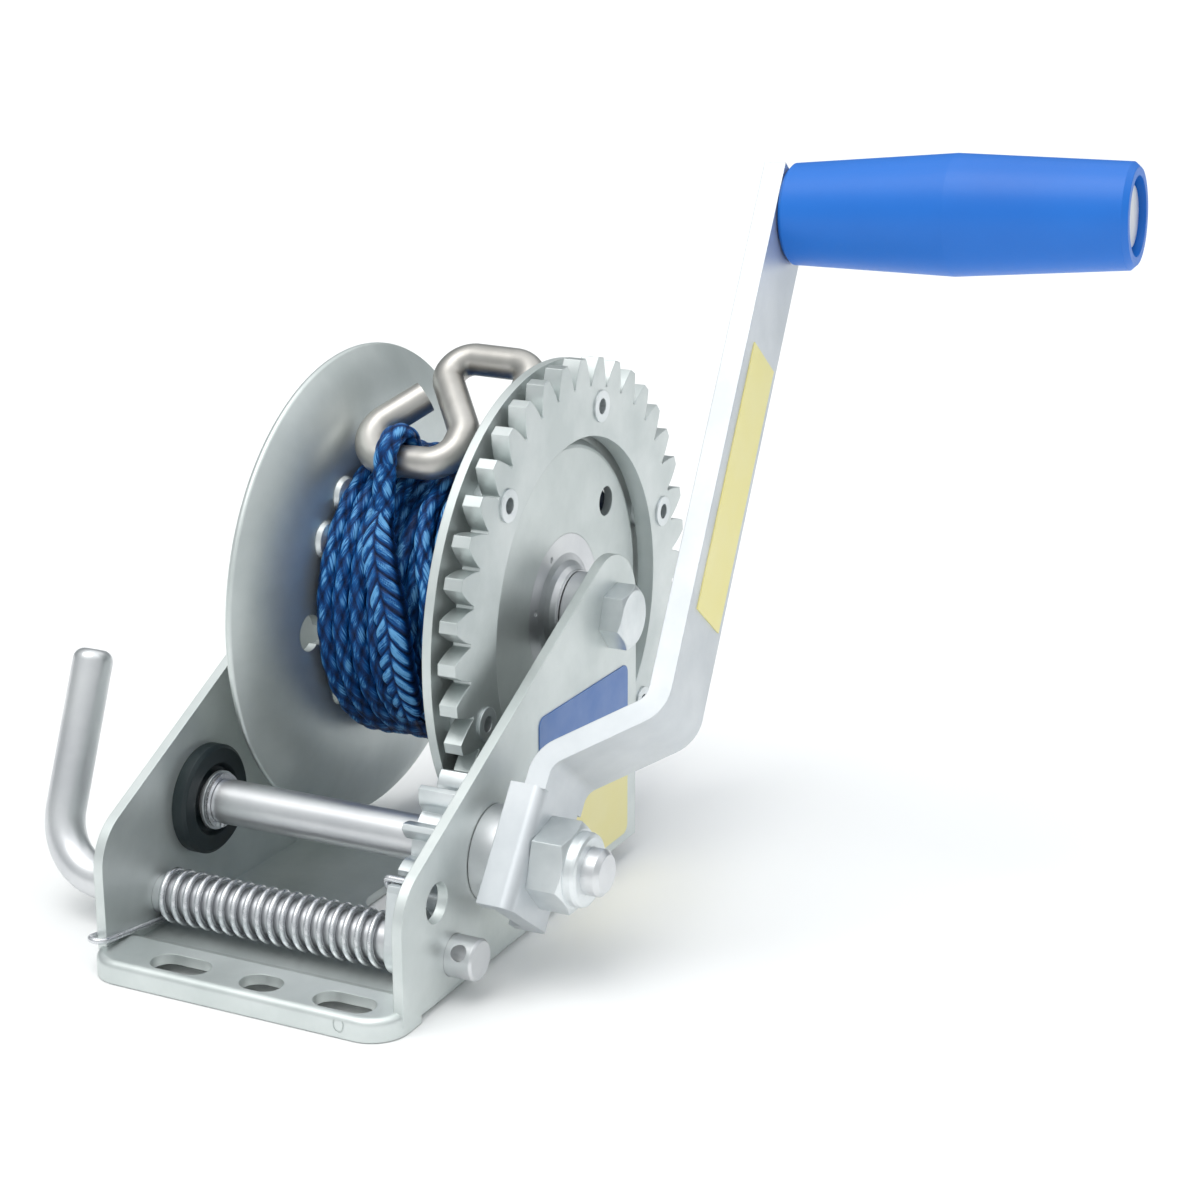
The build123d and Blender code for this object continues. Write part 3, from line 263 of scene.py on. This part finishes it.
# Which CAD nodes wear which material.
FINISH = {
    "sheet": ("frame", "drum_left_flange", "drum_right_flange", "rope_clamp"),
    "gear_plate": ("drum_gear",),
    "crank": ("crank_arm",),
    "turned": (
        "axle_tube", "axle_spacers", "drum_barrel", "drum_hubs", "pinion_shaft",
        "shaft_collar", "grip_spindle", "pawl_shaft",
    ),
    "fastener": (
        "axle_bolt", "axle_nut", "gear_rivets", "clamp_bolts", "clamp_nuts",
        "pinion", "shaft_washer", "crank_nut", "pawl",
    ),
    "wire": ("pawl_spring", "shaft_circlip"),
    "stainless": ("s_hook",),
    "bronze": ("hub_bushes",),
    "black_nylon": ("shaft_bush_left", "shaft_bush_right"),
    "insert": ("nut_insert",),
    "blue_grip": ("grip",),
    "side_label": ("side_label",),
    "crank_label": ("crank_label",),
    "rope": ("rope_pack", "rope_eye"),
}
for finish, names in FINISH.items():
    for node_name in names:
        node = NODES[node_name]
        node.data.materials.clear()
        node.data.materials.append(MATERIALS[finish])


# ---------------------------------------------------------------- mesh helpers
def link(scene_object):
    """Put a new object into the scene."""
    bpy.context.scene.collection.objects.link(scene_object)
    return scene_object


def mesh_object(name, points, faces, material, attributes=None):
    """Smooth-shaded object from points and faces, with values stored per point."""
    mesh = bpy.data.meshes.new(name)
    mesh.from_pydata([tuple(point) for point in points], [], faces)
    for key, (kind, values) in (attributes or {}).items():
        layer = mesh.attributes.new(key, kind, "POINT")
        field = "vector" if kind == "FLOAT_VECTOR" else "value"
        layer.data.foreach_set(field, np.asarray(values, np.float32).ravel())
    mesh.materials.append(material)
    mesh.polygons.foreach_set("use_smooth", [True] * len(mesh.polygons))
    mesh.update()
    return link(bpy.data.objects.new(name, mesh))


def path_frames(points, up):
    """Unit side and top vectors along a path; the top leans towards up."""
    tangent = np.gradient(points, axis=0)
    tangent /= np.linalg.norm(tangent, axis=1)[:, None]
    side = np.cross(up, tangent)
    side /= np.linalg.norm(side, axis=1)[:, None]
    return side, np.cross(tangent, side)


def distance_along(points):
    """Length of a path up to each of its points."""
    step = np.linalg.norm(np.diff(points, axis=0), axis=1)
    return np.concatenate(([0.0], np.cumsum(step)))


def tube_faces(rings, around):
    """Faces of a tube of equal rings, with a cap on each end."""
    faces = []
    for i in range(rings - 1):
        a = i * around
        b = a + around
        for j in range(around):
            k = (j + 1) % around
            faces.append((a + j, a + k, b + k, b + j))
    faces.append(tuple(range(around - 1, -1, -1)))
    faces.append(tuple((rings - 1) * around + j for j in range(around)))
    return faces


def ring_angles(around):
    return np.linspace(0, FULL_TURN, around, endpoint=False)


def oval_rings(points, up, half_width, half_height, angle, grow):
    """Rings of points round a path: an oval section, scaled point by point with grow."""
    side, top = path_frames(points, up)
    return (
        points[:, None]
        + (half_width * grow * np.cos(angle)[None, :])[:, :, None] * side[:, None]
        + (half_height * grow * np.sin(angle)[None, :])[:, :, None] * top[:, None]
    )


def smooth(low, high, value):
    """0 below low, 1 above high, with a soft rise between."""
    t = np.clip((value - low) / (high - low), 0, 1)
    return t * t * (3 - 2 * t)


def around_axle(x, radius, degrees_from_y):
    """Point given by its X, its distance from the drum axle and its angle from +Y towards +Z."""
    angle = np.radians(degrees_from_y)
    y = AXLE.y + radius * np.cos(angle)
    z = AXLE.z + radius * np.sin(angle)
    return np.stack(np.broadcast_arrays(x, y, z), axis=-1)


def outward(degrees_from_y):
    """Unit vectors away from the drum axle at the given angles."""
    angle = np.radians(degrees_from_y)
    return np.stack([np.zeros(len(angle)), np.cos(angle), np.sin(angle)], axis=1)


# ---------------------------------------------------------------- rope surfaces
CARRIERS = 4                   # strands that run each way round the braid
MEAN_HEIGHT = 0.8              # strand height that leaves the rope at its nominal size


def rope_mesh(name, rings, tone_and_shade, weave):
    """Rope surface on the drum, with the strand tone and painted shade and the weave that its
    material reads.
    """
    count, around = rings.shape[:2]
    attributes = {"tone_and_shade": ("FLOAT", tone_and_shade), "weave": ("FLOAT_VECTOR", weave.reshape(-1, 3))}
    faces = tube_faces(count, around)
    rope = mesh_object(name, rings.reshape(-1, 3), faces, MATERIALS["rope"], attributes)
    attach(rope, "drum")
    return rope


def braided(name, points, up, half_width, half_height, pitch, around):
    """Rope with a real over-and-under braid surface along a path."""
    relief = 0.30
    crown, dive = 0.6, 0.4     # how much a strand's roundness and its dive count in its height
    groove_shade_power, drift_length = 1.6, 11 * MM
    half_width = np.broadcast_to(half_width, len(points))[:, None]
    half_height = np.broadcast_to(half_height, len(points))[:, None]
    along = distance_along(points)[:, None]
    angle = ring_angles(around)
    # Two families of strands wind opposite ways and take turns on top, cell by cell.
    turn = CARRIERS * angle[None, :] / FULL_TURN
    first = turn + along / pitch
    second = turn - along / pitch
    cell_a, cell_b = np.floor(first), np.floor(second)
    across_a, across_b = first - cell_a - 0.5, second - cell_b - 0.5
    over = (cell_a + cell_b) % 2 == 0
    across = np.where(over, across_a, across_b)
    length = np.where(over, across_b, across_a)
    hump = np.sqrt(np.clip(1 - (2 * across) ** 2, 0, 1))
    height = crown * hump + dive * np.cos(math.pi * length)
    grow = 1 + relief * (height - MEAN_HEIGHT)
    rings = oval_rings(points, up, half_width, half_height, angle, grow)
    # Each strand has its own shade, and the shade drifts slowly along the rope; painted shade darkens
    # the grooves between strands and where a strand dives under.
    which = np.where(over, cell_a % CARRIERS, CARRIERS + cell_b % CARRIERS).astype(int)
    shade = rng.uniform(0.45, 1.0, 2 * CARRIERS)[which]
    slow = 0.10 * np.sin(along / drift_length + 2.0 * turn)
    # Painted shade: the lower a point of a strand lies, the darker it is painted.
    tone_and_shade = np.clip(shade * np.clip(height, 0, 1) ** groove_shade_power * (0.85 + slow), 0, 1)
    weave = np.stack([across, length + along / pitch, which * 1.7], axis=2)
    return rope_mesh(name, rings, tone_and_shade, weave)


# ---------------------------------------------------------------- rope on the drum
pack_low, pack_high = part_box("rope_pack")
PACK_R = (pack_high.z - pack_low.z) / 2
ROPE_R = 2.1 * MM
PITCH = 7.6 * MM
LAYER_START = 250.0            # angle where a layer begins, below the drum
CHANGE_FROM = 0.80             # share of a turn after which the rope steps to its next place


def wound_layer(name, radius, fronts, tops, wobble, around, spacing, phase):
    """One layer of rope: turns that lie at given X places, in mm, in front and on top of the drum."""
    turns = len(fronts) - 1
    count = int(turns * FULL_TURN * radius / spacing)
    travel = np.linspace(0, turns, count)
    degrees_round = LAYER_START - 360 * travel
    from_front = (180 - degrees_round) % 360
    rising = smooth(0, 55, np.where(from_front > 180, 0, from_front))
    top_weight = rising * (1 - smooth(110, 180, from_front))
    index = np.minimum(travel.astype(int), turns - 1)
    change = smooth(CHANGE_FROM, 1.0, travel - index)
    fronts, tops = np.asarray(fronts), np.asarray(tops)
    here = fronts[index] * (1 - top_weight) + tops[index] * top_weight
    there = fronts[index + 1] * (1 - top_weight) + tops[index + 1] * top_weight
    x = (here * (1 - change) + there * change) * MM
    # Slow waves that don't repeat from turn to turn keep the turns from looking machined.
    sway = wobble * MM * np.sin(2.3 * travel * math.pi + phase)
    lift = 0.5 * wobble * MM * np.sin(1.7 * travel * FULL_TURN + 2 * phase)
    flat = 1 + 0.05 * np.sin(9 * travel + phase)
    points = around_axle(x + sway, radius + lift, degrees_round)
    up = outward(degrees_round)
    return braided(name, points, up, ROPE_R * flat, ROPE_R / flat, PITCH, around)


def wind_rope():
    """An inner layer all across the drum, and two outer groups of turns with a gap between."""
    inner_x = np.linspace(-18.8, 17.3, 10)
    inner = wound_layer("rope_inner", PACK_R - 6.0 * MM, inner_x, inner_x, 0.3, 16, 1.2 * MM, 0.4)
    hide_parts("rope_pack")
    wound_layer(
        "rope_outer_left", PACK_R - 2.0 * MM,
        fronts=[-18.6, -14.2, -9.6, -5.2, -5.0],
        tops=[-18.6, -14.6, -10.8, -7.2, -6.0],
        wobble=0.30, around=36, spacing=0.42 * MM, phase=1.1,
    )
    wound_layer(
        "rope_outer_right", PACK_R - 2.3 * MM,
        fronts=[9.0, 13.4, 17.3, 17.2],
        tops=[2.2, 7.6, 13.2, 15.2],
        wobble=0.40, around=36, spacing=0.42 * MM, phase=2.6,
    )


def rope_core():
    """Deeper turns of the rope, seen only as a ribbed surface between the outer ones, dimmed with
    painted shade that is darkest in the seams between turns.
    """
    stations, around = 120, 180
    depth, rib_height, recess_shade_level = 9.2 * MM, 0.9 * MM, 0.5
    rise, rise_start, rise_length = 8.2 * MM, 3.5 * MM, 3.0 * MM
    flange_gap = 0.4 * MM
    # The right flange's middle is dished away from the rope, so these turns run on into it.
    dish_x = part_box("drum_barrel")[1].x - flange_gap
    x = np.linspace(pack_low.x, dish_x, stations)
    rib = np.abs(np.sin(math.pi * (x - pack_low.x) / (2 * ROPE_R)))
    # They stand higher there, so they fill the view through the flange's window.
    piled = np.clip((x - pack_high.x + rise_start) / rise_length, 0.0, 1.0)
    radius = PACK_R - depth + rib_height * rib + rise * piled
    degrees_round = np.linspace(0, 360, around, endpoint=False)
    rings = around_axle(x[:, None], radius[:, None], degrees_round[None, :])
    # Painted shade: the deeper turns are painted dim, darkest in the seams between turns.
    tone_and_shade = np.broadcast_to(recess_shade_level * rib[:, None], (stations, around))
    filaments_across = x[:, None] * 900
    filaments_round = np.radians(degrees_round)[None, :] * 9
    weave = np.stack(np.broadcast_arrays(filaments_across, filaments_round, 0.0), axis=2)
    rope_mesh("rope_core", rings, tone_and_shade, weave)


wind_rope()
rope_core()

# ---------------------------------------------------------------- spliced rope end
hook_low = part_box("s_hook")[0]
SPLICE_X = -6.4 * MM           # upper end of the splice, where the loop begins
SPLICE_RISE = 1.2 * MM         # height of its ends over the wound rope
SPLICE_SHADES = 97             # how many strand shades are dealt out before they repeat


def splice():
    """Thick plaited end: rows of strands that meet in a V along the middle."""
    count, around = 340, 64
    row_length, row_slope = 3.6 * MM, 1.15
    relief = 0.34
    degrees_round = np.linspace(136, 212, count)
    t = np.linspace(0, 1, count)
    x = SPLICE_X + 8.6 * MM * smooth(0.0, 0.6, t)
    bulge = 1.2 * MM * np.sin(math.pi * np.clip(t * 1.1, 0, 1))
    points = around_axle(x, PACK_R + SPLICE_RISE + bulge, degrees_round)
    swell = smooth(0, 0.2, t)
    half_width = (2.6 + 1.9 * swell - 1.0 * smooth(0.75, 1, t)) * MM
    half_height = (2.2 + 0.6 * swell) * MM
    angle = ring_angles(around)
    across = np.cos(angle)[None, :]
    reach = np.abs(across)
    # The rows slope away from the middle, and the two sides are half a row apart.
    rows = distance_along(points)[:, None] / row_length - row_slope * reach + 0.5 * (across > 0)
    ridge = np.abs(np.cos(math.pi * rows))
    plump = np.sqrt(ridge) * (1 - 0.75 * np.clip((reach - 0.62) / 0.38, 0, 1) ** 2)
    height = plump * (0.45 + 0.55 * smooth(0.0, 0.16, reach))
    grow = 1 + relief * (height - MEAN_HEIGHT)
    up = outward(degrees_round)
    rings = oval_rings(points, up, half_width[:, None], half_height[:, None], angle, grow)
    row = np.floor(rows + 0.5).astype(int)
    shade = rng.uniform(0.5, 1.0, SPLICE_SHADES)[(row * 2 + (across > 0)) % SPLICE_SHADES]
    # Painted shade: the tone darkens between rows, along the middle seam and towards the flanks.
    tone_and_shade = np.clip(shade * height ** 1.6, 0, 1)
    weave = np.stack([rows % 1.0, np.broadcast_to(across * 1.6, rows.shape), row * 1.3], axis=2)
    return rope_mesh("rope_splice", rings, tone_and_shade, weave)


def eye_loop():
    """Rope from the splice up over the hook's lower rod and down behind it."""
    lead_points, arc_points, tail_points = 40, 60, 14
    rod_y = hook_low.y + 4.1 * MM
    rod_z = hook_low.z + 4.05 * MM
    rod_gap = 5.9 * MM
    loop_x = -7.4 * MM
    start = around_axle(SPLICE_X, PACK_R + SPLICE_RISE, 138.0)
    steps = np.radians(np.linspace(178, 8, arc_points))
    arc_x = np.full(arc_points, loop_x)
    over = np.stack([arc_x, rod_y + rod_gap * np.cos(steps), rod_z + rod_gap * np.sin(steps)], axis=1)
    lead = start[None] + (over[0] - start)[None] * np.linspace(0, 1, lead_points)[:-1, None]
    tail_end = over[-1] + np.array([0.5, 0.6, -4.5]) * MM
    tail = over[-1][None] + (tail_end - over[-1])[None] * np.linspace(0, 1, tail_points)[1:, None]
    points = np.concatenate([lead, over, tail])
    up = np.array([1.0, 0, 0])
    return braided("rope_loop", points, up, 2.1 * MM, 2.7 * MM, 6.4 * MM, 40)


for piece in (splice(), eye_loop()):
    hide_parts("rope_eye")


# ---------------------------------------------------------------- pawl spring
def twisting_spring():
    """The torsion spring: a copy of the CAD spring mesh, baked in place to stand in for the hidden
    original.
    """
    spring = link(bpy.data.objects.new("pawl_spring_wire", NODES["pawl_spring"].data.copy()))
    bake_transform(spring)
    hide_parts("pawl_spring")


twisting_spring()


# ---------------------------------------------------------------- floor, light and camera
def soft_sun(name, toward, strength, spread, color=(1, 1, 1)):
    """Large, even light that shines from a direction; spread is its width in degrees."""
    data = bpy.data.lights.new(name, "SUN")
    data.energy = strength
    data.angle = math.radians(spread)
    data.color = color
    lamp = link(bpy.data.objects.new(name, data))
    lamp.rotation_euler = Vector(toward).to_track_quat("Z", "Y").to_euler()


def build_floor():
    """Plain pale floor, just under the winch."""
    half = 60.0
    drop = 0.2 * MM
    mottle_scale = 6.0
    corners = [(-half, -half, 0), (half, -half, 0), (half, half, 0), (-half, half, 0)]
    shader = Shader("floor")
    tint = shader.ramp(shader.noise(shader.place(), mottle_scale), 0.3, 0.7)
    color = shader.mix(tint, (0.93, 0.93, 0.93, 1), (0.95, 0.95, 0.95, 1))
    shader.set(Base_Color=color, Roughness=0.9)
    floor = mesh_object("floor", corners, [(0, 1, 2, 3)], shader.material)
    floor.location.z = -drop


def build_world():
    """Soft surround: bright overhead and in front, dimmer at the sides and behind."""
    brightest = Vector((0.10, -0.45, 0.88)).normalized()
    stops = ((0.05, (0.24, 0.27, 0.28, 1)), (0.85, (0.92, 0.95, 0.96, 1)))
    world = bpy.data.worlds.new("studio")
    world.use_nodes = True
    tree = world.node_tree
    facing = tree.nodes.new("ShaderNodeVectorMath")
    facing.operation = "DOT_PRODUCT"
    facing.inputs[1].default_value = brightest
    direction = tree.nodes.new("ShaderNodeTexCoord").outputs["Generated"]
    tree.links.new(direction, facing.inputs[0])
    ramp = tree.nodes.new("ShaderNodeValToRGB")
    tree.links.new(facing.outputs["Value"], ramp.inputs["Fac"])
    for element, (position, color) in zip(ramp.color_ramp.elements, stops):
        element.position = position
        element.color = color
    background = tree.nodes["Background"]
    tree.links.new(ramp.outputs["Color"], background.inputs["Color"])
    background.inputs["Strength"].default_value = 0.92
    bpy.context.scene.world = world


def build_camera():
    """Camera in front, to the right of and above the winch, looking slightly down."""
    look_down, look_left = 16.29, 26.04
    data = bpy.data.cameras.new("camera")
    data.lens = 69.55
    data.sensor_width = 36.0
    camera = link(bpy.data.objects.new("camera", data))
    camera.location = (0.2562, -0.3793, 0.2129)
    camera.rotation_euler = (math.radians(90 - look_down), 0.0, math.radians(look_left))
    bpy.context.scene.camera = camera


build_floor()
build_world()
soft_sun("key", (-0.15, -0.42, 1.10), 1.15, 45.0, (1.0, 0.995, 0.98))
soft_sun("top", (0.25, 0.35, 1.0), 0.75, 80.0)
build_camera()
bpy.context.scene.view_settings.view_transform = "Standard"
